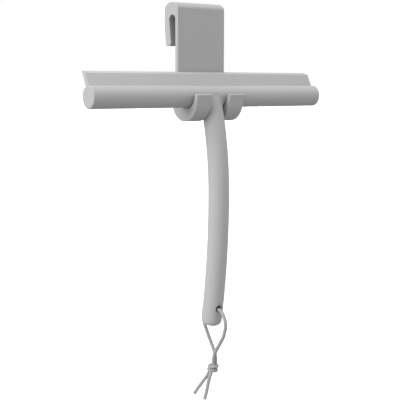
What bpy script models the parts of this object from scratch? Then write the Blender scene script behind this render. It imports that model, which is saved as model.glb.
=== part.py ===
"""A window cleaning squeegee and the hanger that holds it over the top edge of a glass panel.

Units are metres and +Z is up. X runs along the squeegee's head, and +Y points back through the
glass. The origin is the middle of the glass panel's top edge, at the top of the hanger's slot.
"""

from math import asin, ceil, cos, pi, radians, sin, sqrt, tan

import bmesh
import bpy
from mathutils import Matrix, Vector

# Clearances
GAP = 0.0003
HANDLE_SIDE_GAP = 0.0006
BLADE_TO_PLATE = 0.0008
BLADE_ROOT_GAP = 0.0007
TROUGH_CLEARANCE = 0.0020

# Squeegee
HEAD_LENGTH = 0.240
HEAD_DIAMETER = 0.0186
HANDLE_DIAMETER = 0.0182
HANDLE_DROP = 0.1998
HANDLE_BOW = 0.0128
BOW_DROP = 0.084
LOWER_BOW_RADIUS = 0.640
HANDLE_END_ROUND = 0.0045
SKIN_WALL = 0.0021
TUBE_WALL = 0.0012
TUBE_BELOW_HEAD = 0.0022
TUBE_ABOVE_END = 0.0256
TUBE_PLUG_LENGTH = 0.0100
PLUG_FLANGE = 0.0010
PLUG_ROUND = 0.0006
SPIGOT_RADIUS = 0.0023
SPIGOT_LENGTH = 0.0120
SPIGOT_OFFSET = 0.0030
STUD_RADIUS = 0.0030
STUD_RISE = 0.0010
STUD_LINE_BELOW_HEAD = 0.0107
INSERT_BELOW_HEAD = 0.0042
INSERT_LENGTH = 0.0165
PIN_RADIUS = 0.0010
PIN_DROP = 0.0035

# Blade
BLADE_LEAN = radians(26.6)
BLADE_FLEX = radians(20)
BLADE_THICKNESS = 0.0044
BLADE_OFFSET = 0.0009
BLADE_FRONT_HEIGHT = 0.0109
BLADE_BACK_HEIGHT = 0.0150
BEAD_RADIUS = 0.0021
WEB_THICKNESS = 0.0018

# Hanger
HANGER_WIDTH = 0.050
PLATE_THICKNESS = 0.0042
SLOT_WIDTH = 0.0096
MOUTH_WIDTH = 0.0064
SLOT_DEPTH = 0.0261
CROWN_THICKNESS = 0.0110
CROWN_RISE = 0.0059
LEG_THICKNESS = 0.0061
LEG_END_THICKNESS = 0.0075
LEG_STRAIGHT = 0.0120
LEG_END_ROUND = 0.0022
HEAD_BELOW_SLOT = 0.0694
FLOOR_THICKNESS = 0.0114
LIP_THICKNESS = 0.0044
LIP_LEAN = radians(12)
LIP_RISE = 0.0024
LIP_ROUND = 0.0010
FRONT_CORNER_RADIUS = 0.0170
BACK_CORNER_RADIUS = 0.0173
BACK_BULGE = 0.0050
BULGE_HEIGHT = 0.0010
BULGE_BLEND = 0.0160
BLEND_RADIUS = 0.0300
TROUGH_FOOT = 0.0025
TROUGH_BLEND = 0.0100
TROUGH_BLEND_RADIUS = 0.0200
NOTCH_TOP = 0.0065
NOTCH_CORNER = 0.0060
CORE_THICKNESS = 0.0012
CORE_SIDE_WALL = 0.0045
CORE_RISE = 0.0030
CORE_LEG_LENGTH = 0.0190
CORE_LEG_LEAN = 0.0016
CORE_RECESS = 0.0006

# Cord
CORD_DIAMETER = 0.0032
CORD_STEP = CORD_DIAMETER
HOLE_RADIUS = 0.0030
HOLE_ABOVE_END = 0.0154
CORD_SAG_IN_HOLE = 0.0009
KNOT_RADIUS = 0.0050
KNOT_HEIGHT = 0.0070
KNOT_ROUND = 0.0015

# The cord's routes, from the middle of the hole that it passes through
KNOT_CENTRE = Vector((-0.0010, -0.0020, -0.0545))
FRONT_ROUTE = (
    (0, -0.0115, -0.0014),
    (0, -0.0137, -0.0030),
    (0, -0.0157, -0.0054),
    (0, -0.0171, -0.0078),
    (0, -0.0180, -0.0104),
    (0, -0.0183, -0.0130),
    (0, -0.0181, -0.0156),
    (-0.0002, -0.0174, -0.0187),
    (-0.0005, -0.0154, -0.0243),
    (-0.0009, -0.0116, -0.0304),
    (-0.0013, -0.0074, -0.0366),
    (-0.0016, -0.0046, -0.0417),
    (-0.0017, -0.0034, -0.0461),
    (-0.0017, -0.0032, -0.0502),
)
BACK_ROUTE = (
    (0, 0.0108, -0.0015),
    (0, 0.0129, -0.0035),
    (0, 0.0138, -0.0066),
    (0, 0.0139, -0.0099),
    (0, 0.0136, -0.0132),
    (0, 0.0127, -0.0167),
    (0.0002, 0.0107, -0.0208),
    (0.0005, 0.0075, -0.0266),
    (0.0008, 0.0046, -0.0315),
    (0.0012, 0.0017, -0.0364),
    (0.0015, -0.0008, -0.0413),
    (0.0017, -0.0018, -0.0462),
    (0.0017, -0.0019, -0.0504),
)
LEFT_TAIL_ROUTE = (
    (-0.0047, 0, -0.0594),
    (-0.0068, 0.0004, -0.0622),
    (-0.0108, 0.0014, -0.0670),
    (-0.0149, 0.0024, -0.0720),
    (-0.0180, 0.0032, -0.0763),
)
RIGHT_TAIL_ROUTE = (
    (-0.0048, -0.0035, -0.0590),
    (-0.0056, -0.0033, -0.0613),
    (-0.0068, -0.0027, -0.0667),
    (-0.0080, -0.0018, -0.0745),
    (-0.0096, -0.0010, -0.0818),
)

HEAD_SEGMENTS = 48
ROUND_SEGMENTS = 32
ARC_STEP = radians(9)
HANDLE_STEP = 0.0100
CURVE_PARTS = 20
SAME_POINT = 0.00001
PAST = 0.0100

# Places that follow from the sizes
HEAD_RADIUS = HEAD_DIAMETER / 2
HANDLE_RADIUS = HANDLE_DIAMETER / 2
CORE_RADIUS = HEAD_RADIUS - SKIN_WALL - GAP
TUBE_RADIUS = HANDLE_RADIUS - SKIN_WALL - GAP
INSERT_RADIUS = TUBE_RADIUS - TUBE_WALL - 2 * GAP
TUBE_TOP_DROP = HEAD_RADIUS + TUBE_BELOW_HEAD
TUBE_END_DROP = HANDLE_DROP - TUBE_ABOVE_END
INSERT_TOP_DROP = HEAD_RADIUS + INSERT_BELOW_HEAD
INSERT_END_DROP = INSERT_TOP_DROP + INSERT_LENGTH
STUD_LINE_DROP = HEAD_RADIUS + STUD_LINE_BELOW_HEAD
HOLE_DROP = HANDLE_DROP - HOLE_ABOVE_END
CLEAR_HALF_LENGTH = HEAD_LENGTH / 2 - PLUG_FLANGE - GAP
UPPER_BOW_RADIUS = (BOW_DROP**2 + HANDLE_BOW**2) / (2 * HANDLE_BOW)

BEAD_HEIGHT = HEAD_RADIUS - SKIN_WALL - BEAD_RADIUS
BLADE_BACK_OFFSET = BLADE_THICKNESS / 2 - BLADE_OFFSET
BLADE_TIP_HEIGHT = HEAD_RADIUS + BLADE_BACK_HEIGHT
BLADE_TIP_BACK = BLADE_TIP_HEIGHT * sin(BLADE_LEAN) + BLADE_BACK_OFFSET * cos(BLADE_LEAN)

SLOT_CORNER = 0.46 * SLOT_WIDTH
CORE_WIDTH = HANGER_WIDTH - 2 * CORE_SIDE_WALL
PLATE_BACK = -SLOT_WIDTH / 2
PLATE_FRONT = PLATE_BACK - PLATE_THICKNESS
HEAD_Y = PLATE_FRONT - BLADE_TO_PLATE - BLADE_TIP_BACK
HEAD_Z = -HEAD_BELOW_SLOT
TROUGH_RADIUS = HEAD_RADIUS + TROUGH_CLEARANCE
FLOOR_TOP = HEAD_Z - HEAD_RADIUS - GAP
FLOOR_BOTTOM = FLOOR_TOP - FLOOR_THICKNESS
NOTCH_WIDTH = HANDLE_DIAMETER + 2 * HANDLE_SIDE_GAP


def material(name, colour, roughness, metallic):
    made = bpy.data.materials.new(name)
    made.use_nodes = True
    shader = made.node_tree.nodes["Principled BSDF"]
    shader.inputs["Base Color"].default_value = (*colour, 1)
    shader.inputs["Roughness"].default_value = roughness
    shader.inputs["Metallic"].default_value = metallic
    return made


def place(name, data, parent, finish):
    """An object of this mesh or curve, under the empty that its body turns or slides with."""
    made = bpy.data.objects.new(name, data)
    made.parent = parent
    data.materials.append(finish)
    bpy.context.scene.collection.objects.link(made)
    return made


def mesh_of(name, bm, smooth_below=radians(35)):
    bmesh.ops.recalc_face_normals(bm, faces=bm.faces)
    mesh = bpy.data.meshes.new(name)
    bm.to_mesh(mesh)
    bm.free()
    mesh.shade_smooth()
    mesh.set_sharp_from_angle(angle=smooth_below)
    return mesh


def empty(name, position, parent=None):
    made = bpy.data.objects.new(name, None)
    made.location = position
    made.parent = parent
    bpy.context.scene.collection.objects.link(made)
    return made


def along(start, end):
    """The matrix that centres a +Z shape between two points, pointing from start to end."""
    start = Vector(start)
    end = Vector(end)
    turn = (end - start).to_track_quat("Z", "Y").to_matrix().to_4x4()
    return Matrix.Translation((start + end) / 2) @ turn


def cylinder(name, radius, start, end, segments=ROUND_SEGMENTS):
    bm = bmesh.new()
    bmesh.ops.create_cone(
        bm,
        cap_ends=True,
        segments=segments,
        radius1=radius,
        radius2=radius,
        depth=(Vector(end) - Vector(start)).length,
        matrix=along(start, end),
    )
    return mesh_of(name, bm)


def prism(name, outline, start, end):
    """The solid that a flat outline of 3D points sweeps when it is moved from start to end."""
    bm = bmesh.new()
    face = bm.faces.new([bm.verts.new(point + start) for point in outline])
    pushed = bmesh.ops.extrude_face_region(bm, geom=[face])
    corners = [item for item in pushed["geom"] if isinstance(item, bmesh.types.BMVert)]
    bmesh.ops.translate(bm, verts=corners, vec=end - start)
    return mesh_of(name, bm)


def rounded(corners):
    """The points of a closed outline through (across, up, radius) corners, each rounded off."""
    outline = []
    count = len(corners)
    for index, (across, up, radius) in enumerate(corners):
        corner = Vector((across, up))
        if radius == 0:
            outline.append(corner)
            continue
        before = (Vector(corners[index - 1][:2]) - corner).normalized()
        after = (Vector(corners[(index + 1) % count][:2]) - corner).normalized()
        turn = pi - before.angle(after)
        reach = radius * tan(turn / 2)
        side = 1 if before.x * after.y - before.y * after.x < 0 else -1
        start = corner + before * reach
        centre = start + Vector((-before.y, before.x)) * radius * -side
        spoke = start - centre
        steps = max(1, ceil(turn / ARC_STEP))
        for step in range(steps + 1):
            outline.append(centre + Matrix.Rotation(side * turn * step / steps, 2) @ spoke)
    pairs = zip(outline, [outline[-1], *outline])
    return [point for point, behind in pairs if (point - behind).length > SAME_POINT]


def ribbon(path, half_thickness):
    """The closed outline of a strip that follows a path of 2D points."""
    sides = []
    for index, point in enumerate(path):
        ahead = path[min(index + 1, len(path) - 1)]
        behind = path[max(index - 1, 0)]
        run = (ahead - behind).normalized()
        sides.append(Vector((-run.y, run.x)) * half_thickness)
    left = [point + side for point, side in zip(path, sides)]
    right = [point - side for point, side in zip(path, sides)]
    return left + right[::-1]


def loft(name, stations, segments):
    """A closed round bar through (centre, direction, radius) stations."""
    bm = bmesh.new()
    ring = bmesh.ops.create_circle(bm, cap_ends=True, segments=segments, radius=1)["verts"]
    spokes = {vertex: vertex.co.copy() for vertex in ring}
    for index, (centre, direction, radius) in enumerate(stations):
        if index:
            end = next(face for face in bm.faces if all(vertex in spokes for vertex in face.verts))
            found = {tuple(vertex.co): spoke for vertex, spoke in spokes.items()}
            pushed = bmesh.ops.extrude_face_region(bm, geom=[end])["geom"]
            if index > 1:
                bmesh.ops.delete(bm, geom=[end], context="FACES_ONLY")
            corners = [item for item in pushed if isinstance(item, bmesh.types.BMVert)]
            spokes = {vertex: found[tuple(vertex.co)] for vertex in corners}
        across = Vector((1, 0, 0))
        turn = Matrix((across, direction.cross(across), direction)).transposed()
        for vertex, spoke in spokes.items():
            vertex.co = centre + turn @ (spoke * radius)
    return mesh_of(name, bm)


def cut(target, mesh, operation="DIFFERENCE", solver="EXACT"):
    """Boolean a hidden helper into the target, in the target's own frame."""
    helper = bpy.data.objects.new(mesh.name, mesh)
    helper.parent = target.parent
    helper.hide_render = True
    helper.display_type = "WIRE"
    bpy.context.scene.collection.objects.link(helper)
    modifier = target.modifiers.new(mesh.name, "BOOLEAN")
    modifier.operation = operation
    modifier.solver = solver
    modifier.object = helper


def smooth_route(points, step):
    """Points about a step apart on the smooth curve through these points."""
    knots = [Vector(point) for point in points]
    padded = [2 * knots[0] - knots[1], *knots, 2 * knots[-1] - knots[-2]]
    fine = []
    for a, b, c, d in zip(padded, padded[1:], padded[2:], padded[3:]):
        for part in range(CURVE_PARTS):
            t = part / CURVE_PARTS
            bend = (2 * a - 5 * b + 4 * c - d) * t**2 + (3 * b - a - 3 * c + d) * t**3
            fine.append((2 * b + (c - a) * t + bend) / 2)
    fine.append(knots[-1])
    lengths = [0.0]
    for first, second in zip(fine, fine[1:]):
        lengths.append(lengths[-1] + (second - first).length)
    count = max(2, round(lengths[-1] / step))
    spaced = []
    for number in range(count + 1):
        wanted = lengths[-1] * number / count
        after = next(index for index, length in enumerate(lengths) if length >= wanted - SAME_POINT)
        before = max(after - 1, 0)
        span = lengths[after] - lengths[before]
        share = (wanted - lengths[before]) / span if span else 0
        spaced.append(fine[before].lerp(fine[after], share))
    return spaced


def handle_point(drop):
    """The handle's centre at this depth below the head's axis, on the head's own frame."""
    radius = UPPER_BOW_RADIUS if drop < BOW_DROP else LOWER_BOW_RADIUS
    return Vector((0, radius - HANDLE_BOW - sqrt(radius**2 - (BOW_DROP - drop) ** 2), -drop))


def handle_direction(drop):
    """The way down the handle at this depth."""
    radius = UPPER_BOW_RADIUS if drop < BOW_DROP else LOWER_BOW_RADIUS
    slope = (drop - BOW_DROP) / sqrt(radius**2 - (BOW_DROP - drop) ** 2)
    return Vector((0, slope, -1)).normalized()


def handle_stations(top, end, radius, end_round=0):
    """Stations down the handle, the last of them drawn in to round the end."""
    straight_end = end - end_round
    count = ceil((straight_end - top) / HANDLE_STEP)
    drops = [top + (straight_end - top) * index / count for index in range(count + 1)]
    stations = [(handle_point(drop), handle_direction(drop), radius) for drop in drops]
    if end_round:
        turns = ceil(pi / 2 / ARC_STEP)
        for index in range(1, turns + 1):
            angle = pi / 2 * index / turns
            drop = straight_end + end_round * sin(angle)
            drawn_in = radius - end_round * (1 - cos(angle))
            stations.append((handle_point(drop), handle_direction(drop), drawn_in))
    return stations


def lean_point(across, height):
    """A point on the blade's section: across the blade, and up it from the head's axis."""
    y = height * sin(BLADE_LEAN) + (across - BLADE_OFFSET) * cos(BLADE_LEAN)
    z = height * cos(BLADE_LEAN) - (across - BLADE_OFFSET) * sin(BLADE_LEAN)
    return Vector((0, y, z))


def hanger_outline():
    """The hanger's side view: hook, plate, and the trough that the head lies in."""
    bulge = PLATE_BACK + BACK_BULGE
    trough_back = HEAD_Y + TROUGH_RADIUS
    trough_middle = FLOOR_TOP + TROUGH_RADIUS
    trough_corner = TROUGH_RADIUS - SAME_POINT
    lip_top = HEAD_Z + LIP_RISE
    lean_out = tan(LIP_LEAN)
    inner_foot = HEAD_Y - TROUGH_RADIUS / cos(LIP_LEAN) + TROUGH_RADIUS * lean_out
    inner_top = inner_foot - (lip_top - FLOOR_TOP) * lean_out
    outer_top = inner_top - LIP_THICKNESS / cos(LIP_LEAN)
    outer_foot = outer_top + (lip_top - FLOOR_BOTTOM) * lean_out
    slot_back = PLATE_BACK + SLOT_WIDTH
    leg_inner = PLATE_BACK + MOUTH_WIDTH
    leg_back = slot_back + LEG_THICKNESS
    shoulder = CROWN_THICKNESS - CROWN_RISE
    crown_half = (leg_back - PLATE_FRONT) / 2
    steps = 2 * ceil(pi / 2 / ARC_STEP)
    crown = []
    for step in range(steps + 1):
        angle = pi * step / steps
        across = leg_back - crown_half + crown_half * cos(angle)
        crown.append((across, shoulder + CROWN_RISE * sin(angle), 0))
    return rounded(
        [
            (outer_top, lip_top, LIP_ROUND),
            (outer_foot, FLOOR_BOTTOM, FRONT_CORNER_RADIUS),
            (bulge, FLOOR_BOTTOM, BACK_CORNER_RADIUS),
            (bulge, HEAD_Z + BULGE_HEIGHT, BLEND_RADIUS),
            (PLATE_BACK, HEAD_Z + BULGE_HEIGHT + BULGE_BLEND, BLEND_RADIUS),
            (PLATE_BACK, 0, SLOT_CORNER),
            (slot_back, 0, SLOT_CORNER),
            (leg_inner, -SLOT_DEPTH, LEG_END_ROUND),
            (leg_inner + LEG_END_THICKNESS, -SLOT_DEPTH, LEG_END_ROUND),
            (leg_back, -LEG_STRAIGHT, BLEND_RADIUS),
            *crown,
            (PLATE_FRONT, trough_middle + TROUGH_BLEND, TROUGH_BLEND_RADIUS),
            (trough_back, trough_middle + TROUGH_FOOT, TROUGH_BLEND_RADIUS),
            (trough_back, FLOOR_TOP, trough_corner),
            (inner_foot, FLOOR_TOP, trough_corner),
            (inner_top, lip_top, LIP_ROUND),
        ]
    )


def core_path(bottom, leg_end):
    """The middle line of the hanger's steel strip, from its bottom over the crown and down the leg."""
    plate_middle = PLATE_BACK - PLATE_THICKNESS / 2
    leg_middle = PLATE_BACK + SLOT_WIDTH + LEG_THICKNESS / 2
    bend = 0.475 * (leg_middle - plate_middle)
    corners = [
        (plate_middle, bottom, 0),
        (plate_middle, CORE_RISE, bend),
        (leg_middle, CORE_RISE, bend),
        (leg_middle - CORE_LEG_LEAN, leg_end, 0),
    ]
    return rounded(corners)


def in_side_view(points):
    return [Vector((0, point.x, point.y)) for point in points]


def build_hanger(silicone, steel):
    half = Vector((HANGER_WIDTH / 2, 0, 0))
    body = prism("hanger_body", in_side_view(hanger_outline()), -half, half)
    body = place("hanger_body", body, None, silicone)
    notch_half = NOTCH_WIDTH / 2
    notch_top = HEAD_Z + NOTCH_TOP
    below = FLOOR_BOTTOM - PAST
    notch = rounded(
        [
            (-notch_half, below, 0),
            (notch_half, below, 0),
            (notch_half, notch_top, NOTCH_CORNER),
            (-notch_half, notch_top, NOTCH_CORNER),
        ]
    )
    front = Vector((0, HEAD_Y - HEAD_DIAMETER - PAST, 0))
    back = Vector((0, PLATE_BACK + BACK_BULGE + PAST, 0))
    upright = [Vector((point.x, 0, point.y)) for point in notch]
    cut(body, prism("handle_notch", upright, front, back), solver="MANIFOLD")

    core_half = Vector((CORE_WIDTH / 2, 0, 0))
    strip_bottom = notch_top + CORE_RECESS
    strip = ribbon(core_path(strip_bottom, -CORE_LEG_LENGTH), CORE_THICKNESS / 2)
    strip = prism("hanger_core", in_side_view(strip), -core_half, core_half)
    place("hanger_core", strip, None, steel)
    pocket = core_path(notch_top - CORE_RECESS, -CORE_LEG_LENGTH - GAP)
    pocket = ribbon(pocket, CORE_THICKNESS / 2 + GAP)
    wide = core_half + Vector((GAP, 0, 0))
    cut(body, prism("core_pocket", in_side_view(pocket), -wide, wide))


def bar_across(name, radius, middle, half_length, segments=ROUND_SEGMENTS):
    """A round bar along X."""
    reach = Vector((half_length, 0, 0))
    return cylinder(name, radius, middle - reach, middle + reach, segments)


def stud_point(drop):
    """A point on the neck stud's straight axis, which touches the handle's curve partway down."""
    middle = handle_point(STUD_LINE_DROP)
    direction = handle_direction(STUD_LINE_DROP)
    return middle + direction * ((drop - STUD_LINE_DROP) / -direction.z)


def build_head(frame, silicone, plastic, steel):
    middle = Vector((0, 0, 0))
    through = HEAD_LENGTH / 2 + PAST
    bead = lean_point(0, BEAD_HEIGHT)
    spigot_middle = -SPIGOT_OFFSET * Vector((0, sin(BLADE_LEAN), cos(BLADE_LEAN)))
    flare = []
    narrow = WEB_THICKNESS / 2 / cos(BLADE_FLEX) + GAP
    for distance in (0, PAST):
        flare.append((narrow + distance * tan(BLADE_FLEX), BEAD_HEIGHT + distance))
    slot = [lean_point(width, height) for width, height in flare]
    slot += [lean_point(-width, height) for width, height in flare[::-1]]
    far = Vector((through, 0, 0))
    pin_bottom = PIN_DROP + PIN_RADIUS
    pin_half = Vector((0, sqrt(CORE_RADIUS**2 - pin_bottom**2), 0))
    pin_middle = Vector((0, 0, -PIN_DROP))

    core = bar_across("head_core", CORE_RADIUS, middle, CLEAR_HALF_LENGTH, HEAD_SEGMENTS)
    core = place("head_core", core, frame, plastic)
    cut(core, bar_across("bead_channel", BEAD_RADIUS + GAP, bead, through))
    cut(core, prism("core_slot", slot, -far, far))
    stud_top = stud_point(-STUD_RISE - GAP)
    cut(core, cylinder("stud_hole", STUD_RADIUS + GAP, stud_top, stud_point(HEAD_DIAMETER)))
    pin_hole = pin_middle - 2 * pin_half, pin_middle + 2 * pin_half
    cut(core, cylinder("core_pin_hole", PIN_RADIUS + GAP, *pin_hole))

    sleeve = bar_across("head_sleeve", HEAD_RADIUS, middle, CLEAR_HALF_LENGTH, HEAD_SEGMENTS)
    sleeve = place("head_sleeve", sleeve, frame, silicone)
    cut(sleeve, bar_across("sleeve_bore", CORE_RADIUS + GAP, middle, through, HEAD_SEGMENTS))
    cut(sleeve, prism("sleeve_slot", slot, -far, far))
    below = stud_point(HEAD_DIAMETER)
    cut(sleeve, cylinder("sleeve_stud_hole", STUD_RADIUS + GAP, stud_point(0), below))

    for side, name in ((-1, "end_plug_left"), (1, "end_plug_right")):
        outer = Vector((side * HEAD_LENGTH / 2, 0, 0))
        inner = outer - Vector((side * PLUG_FLANGE, 0, 0))
        plug = cylinder(name, HEAD_RADIUS, inner, outer, HEAD_SEGMENTS)
        plug = place(name, plug, frame, silicone)
        edge = plug.modifiers.new("edge", "BEVEL")
        edge.width = PLUG_ROUND
        edge.segments = 2
        edge.limit_method = "ANGLE"
        tip = inner + spigot_middle - Vector((side * SPIGOT_LENGTH, 0, 0))
        root = spigot_middle + (inner + outer) / 2
        cut(plug, cylinder(name + "_spigot", SPIGOT_RADIUS, root, tip), "UNION")
        bore_end = tip - Vector((side * GAP, 0, 0))
        cut(core, cylinder(name + "_bore", SPIGOT_RADIUS + GAP, bore_end, outer + spigot_middle))

    insert_top = stud_point(INSERT_TOP_DROP)
    insert_end = stud_point(INSERT_END_DROP)
    root = stud_point(INSERT_TOP_DROP + GAP)
    stud = cylinder("neck_stud", STUD_RADIUS, stud_point(-STUD_RISE), root)
    stud = place("neck_stud", stud, frame, steel)
    cut(stud, cylinder("stud_insert", INSERT_RADIUS, insert_top, insert_end), "UNION")
    pin = pin_middle - pin_half, pin_middle + pin_half
    cut(stud, cylinder("stud_pin_hole", PIN_RADIUS + GAP, *pin))
    place("neck_pin", cylinder("neck_pin", PIN_RADIUS, *pin), frame, steel)


def build_handle(frame, silicone, plastic, steel):
    outside = handle_stations(TUBE_TOP_DROP, TUBE_END_DROP, TUBE_RADIUS)
    tube = place("handle_tube", loft("handle_tube", outside, ROUND_SEGMENTS), frame, steel)
    bore_radius = TUBE_RADIUS - TUBE_WALL
    bore = handle_stations(TUBE_TOP_DROP - PAST, TUBE_END_DROP + PAST, bore_radius)
    cut(tube, loft("tube_bore", bore, ROUND_SEGMENTS))

    plug_top = TUBE_END_DROP - TUBE_PLUG_LENGTH
    plug = handle_stations(plug_top, TUBE_END_DROP, bore_radius - GAP)
    place("tube_plug", loft("tube_plug", plug, ROUND_SEGMENTS), frame, plastic)

    skin = handle_stations(0, HANDLE_DROP, HANDLE_RADIUS, HANDLE_END_ROUND)
    skin = loft("handle_sleeve", skin, ROUND_SEGMENTS)
    sleeve = place("handle_sleeve", skin, frame, silicone)
    middle = Vector((0, 0, 0))
    cut(sleeve, bar_across("neck_cope", HEAD_RADIUS + GAP, middle, HANDLE_DIAMETER, HEAD_SEGMENTS))
    inside = handle_stations(HEAD_RADIUS / 2, TUBE_END_DROP + GAP, TUBE_RADIUS + GAP)
    cut(sleeve, loft("sleeve_handle_bore", inside, ROUND_SEGMENTS))
    hole = Vector((0, HANDLE_DIAMETER, 0))
    centre = handle_point(HOLE_DROP)
    cut(sleeve, cylinder("cord_hole", HOLE_RADIUS, centre - hole, centre + hole))


def build_blade(frame, rubber):
    bead = lean_point(0, BEAD_HEIGHT)
    root = HEAD_RADIUS + BLADE_ROOT_GAP
    half_web = WEB_THICKNESS / 2
    half = BLADE_THICKNESS / 2
    opening = asin(half_web / BEAD_RADIUS)
    sweep = 2 * pi - 2 * opening
    steps = ceil(sweep / ARC_STEP / 2)
    section = []
    for step in range(steps + 1):
        angle = pi / 2 + opening + sweep * step / steps
        height = BEAD_HEIGHT + BEAD_RADIUS * sin(angle)
        section.append(lean_point(BEAD_RADIUS * cos(angle), height))
    section += [
        lean_point(half_web, root),
        lean_point(half, root),
        lean_point(half, BLADE_TIP_HEIGHT),
        lean_point(-half, HEAD_RADIUS + BLADE_FRONT_HEIGHT),
        lean_point(-half, root),
        lean_point(-half_web, root),
    ]
    reach = Vector((CLEAR_HALF_LENGTH, 0, 0))
    place("blade", prism("blade", [point - bead for point in section], -reach, reach), frame, rubber)


def cord_tube(name, route, frame, finish):
    """A length of the cord along a route that is given from the middle of its hole."""
    curve = bpy.data.curves.new(name, "CURVE")
    curve.dimensions = "3D"
    curve.bevel_depth = CORD_DIAMETER / 2
    curve.bevel_resolution = 2
    curve.use_fill_caps = True
    points = smooth_route(route, CORD_STEP)
    spline = curve.splines.new("POLY")
    spline.points.add(len(points) - 1)
    for vertex, point in zip(spline.points, points):
        vertex.co = (*point, 1)
    place(name, curve, frame, finish)


def build_cord(frame, finish):
    start = Vector((0, 0, -CORD_SAG_IN_HOLE))
    apart = Vector((0, GAP / 2, 0))
    rim = Vector((0, HANDLE_RADIUS, 0))
    cord_tube("cord_front", (start - apart, start - rim, *FRONT_ROUTE), frame, finish)
    cord_tube("cord_back", (start + apart, start + rim, *BACK_ROUTE), frame, finish)
    cord_tube("cord_tail_left", LEFT_TAIL_ROUTE, frame, finish)
    cord_tube("cord_tail_right", RIGHT_TAIL_ROUTE, frame, finish)
    half = Vector((0, 0, KNOT_HEIGHT / 2))
    knot = cylinder("cord_knot", KNOT_RADIUS, KNOT_CENTRE - half, KNOT_CENTRE + half)
    edge = place("cord_knot", knot, frame, finish).modifiers.new("edge", "BEVEL")
    edge.width = KNOT_ROUND
    edge.segments = 3
    edge.limit_method = "ANGLE"


def main():
    for old in list(bpy.data.objects):
        bpy.data.objects.remove(old)
    silicone = material("grey_silicone", (0.36, 0.36, 0.36), 0.65, 0)
    rubber = material("grey_rubber", (0.37, 0.37, 0.37), 0.6, 0)
    plastic = material("moulded_plastic", (0.16, 0.16, 0.16), 0.5, 0)
    steel = material("steel", (0.6, 0.6, 0.6), 0.35, 1)
    cord = material("grey_cord", (0.42, 0.42, 0.42), 0.7, 0)

    build_hanger(silicone, steel)
    squeegee = empty("squeegee", (0, HEAD_Y, HEAD_Z))
    build_head(squeegee, silicone, plastic, steel)
    build_handle(squeegee, silicone, plastic, steel)
    build_blade(empty("blade_pivot", lean_point(0, BEAD_HEIGHT), squeegee), rubber)
    build_cord(empty("cord_pivot", handle_point(HOLE_DROP), squeegee), cord)


main()
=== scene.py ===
"""The finished look of a window squeegee and its over-glass hanger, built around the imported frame."""

from math import atan2, ceil, cos, pi, radians, sin, sqrt, tan

import bmesh
import bpy
from bpy.props import FloatProperty, FloatVectorProperty, PointerProperty
from mathutils import Matrix, Vector


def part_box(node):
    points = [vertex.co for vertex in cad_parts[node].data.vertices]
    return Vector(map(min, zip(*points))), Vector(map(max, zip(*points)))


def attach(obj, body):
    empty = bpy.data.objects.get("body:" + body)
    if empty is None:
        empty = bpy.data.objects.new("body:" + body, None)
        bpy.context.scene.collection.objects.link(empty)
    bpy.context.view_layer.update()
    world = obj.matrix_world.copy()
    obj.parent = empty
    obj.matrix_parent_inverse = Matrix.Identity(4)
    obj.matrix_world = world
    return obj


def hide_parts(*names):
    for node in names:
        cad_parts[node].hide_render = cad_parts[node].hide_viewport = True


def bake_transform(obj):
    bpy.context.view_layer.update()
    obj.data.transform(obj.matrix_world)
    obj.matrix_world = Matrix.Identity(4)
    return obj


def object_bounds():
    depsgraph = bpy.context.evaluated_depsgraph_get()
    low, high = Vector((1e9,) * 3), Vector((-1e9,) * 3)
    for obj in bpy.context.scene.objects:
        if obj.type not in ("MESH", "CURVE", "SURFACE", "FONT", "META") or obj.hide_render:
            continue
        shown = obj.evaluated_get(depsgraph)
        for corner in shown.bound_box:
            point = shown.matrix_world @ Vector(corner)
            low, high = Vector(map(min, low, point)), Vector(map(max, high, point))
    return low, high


bl_info = {
    "name": "Window squeegee and hanger",
    "version": (1, 0, 0),
    "blender": (4, 5, 0),
    "location": "3D View > Sidebar > Squeegee",
    "description": "Builds the soft skins, blade, cord and studio of a hanging window squeegee",
    "category": "Object",
}

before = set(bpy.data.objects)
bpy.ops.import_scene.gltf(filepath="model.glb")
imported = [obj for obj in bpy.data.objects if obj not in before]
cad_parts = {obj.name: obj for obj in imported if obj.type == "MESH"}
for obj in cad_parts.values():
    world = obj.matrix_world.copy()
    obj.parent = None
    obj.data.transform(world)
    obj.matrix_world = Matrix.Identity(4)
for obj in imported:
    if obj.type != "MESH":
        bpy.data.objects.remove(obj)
CAD_BOX = [list(corner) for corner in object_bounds()]

MM = 0.001
X = Vector((1, 0, 0))
SAME_POINT = 0.01 * MM
SAME_ANGLE = 0.001


def middle_of(node):
    low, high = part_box(node)
    return (low + high) / 2


# Places that the frame gives
HEAD = Vector((0, middle_of("head_sleeve").y, middle_of("head_sleeve").z))
HALF_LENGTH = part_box("end_plug_right")[1].x
BLADE_HALF_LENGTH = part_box("blade")[1].x
HANGER_HALF_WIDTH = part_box("hanger_body")[1].x
FLOOR_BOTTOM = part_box("hanger_body")[0].z

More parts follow.
